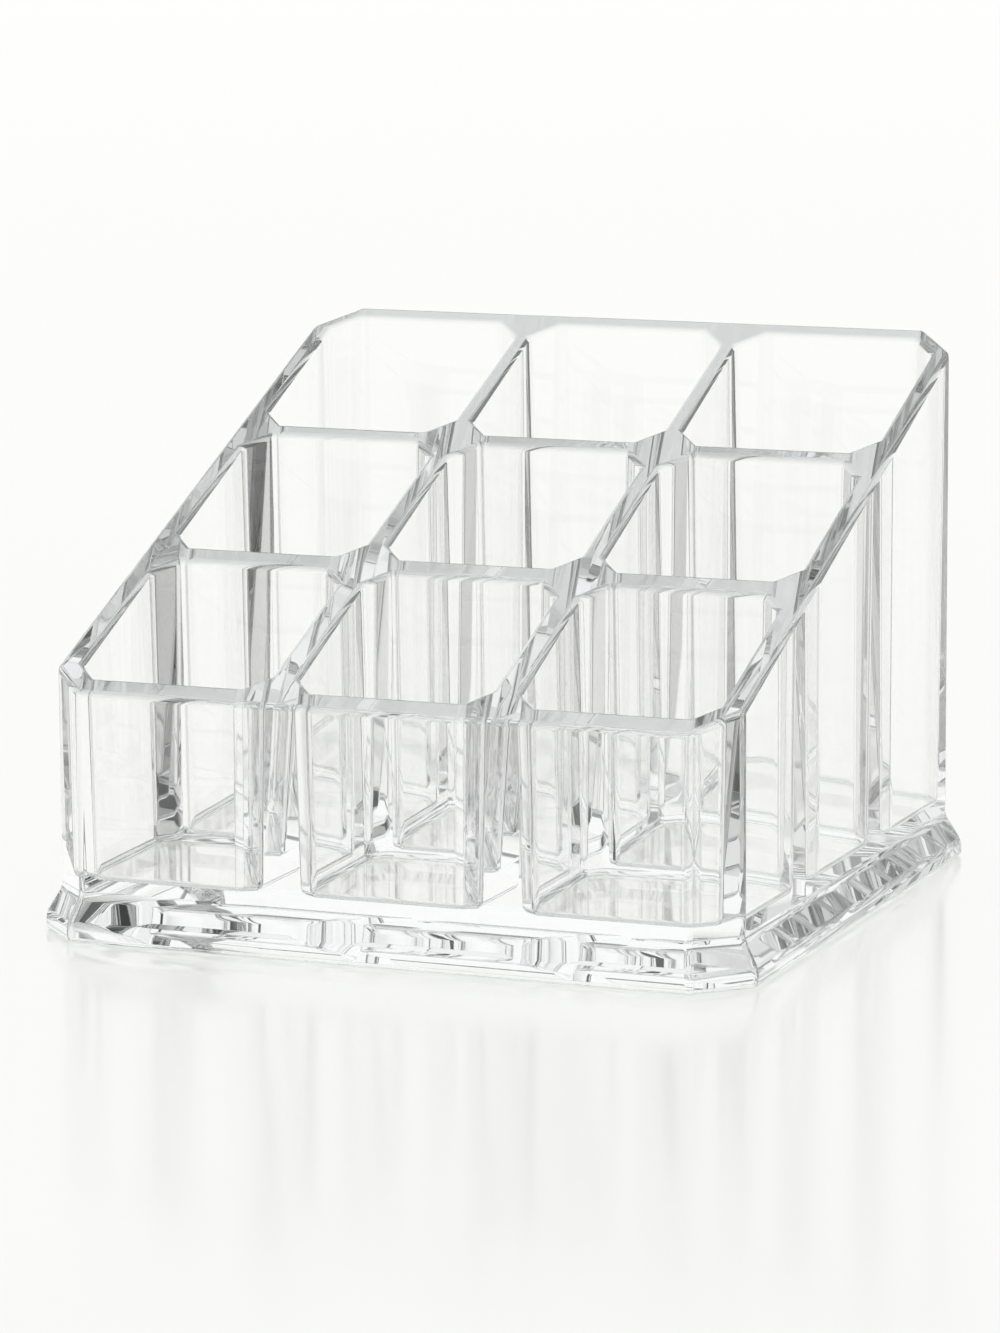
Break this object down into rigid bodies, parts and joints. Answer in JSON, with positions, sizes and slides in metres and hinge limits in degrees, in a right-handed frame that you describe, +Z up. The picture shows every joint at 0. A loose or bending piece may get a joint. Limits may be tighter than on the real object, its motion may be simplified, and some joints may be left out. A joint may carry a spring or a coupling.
{
  "type": "vanity organizer",
  "caption": "Clear square organizer with a grid of tapered pockets under a sloping rim, on a flared plinth, for standing lipsticks and other slim cosmetics.",
  "frame": {"origin": "centre of the plinth's underside", "axes": "+Z up, +Y from the low front wall to the high back wall, +X to the right as seen from the front"},
  "size_m": [0.095, 0.095, 0.0696],
  "materials": {
    "clear_plastic": "clear, colourless, glossy moulded styrene or acrylic"
  },
  "bodies": {
    "root": {"back_wall": "clear_plastic", "back_wall_gussets_left": "clear_plastic", "back_wall_gussets_right": "clear_plastic", "base_plinth": "clear_plastic", "corner_post_back_left": "clear_plastic", "corner_post_back_right": "clear_plastic", "corner_post_front_left": "clear_plastic", "corner_post_front_right": "clear_plastic", "cross_divider_back": "clear_plastic", "cross_divider_front": "clear_plastic", "crossing_gussets_back_left": "clear_plastic", "crossing_gussets_back_right": "clear_plastic", "crossing_gussets_front_left": "clear_plastic", "crossing_gussets_front_right": "clear_plastic", "front_wall": "clear_plastic", "front_wall_gussets_left": "clear_plastic", "front_wall_gussets_right": "clear_plastic", "left_wall": "clear_plastic", "left_wall_gussets_back": "clear_plastic", "left_wall_gussets_front": "clear_plastic", "long_divider_left": "clear_plastic", "long_divider_right": "clear_plastic", "pocket_floor": "clear_plastic", "right_wall": "clear_plastic", "right_wall_gussets_back": "clear_plastic", "right_wall_gussets_front": "clear_plastic"}
  },
  "joints": []
}
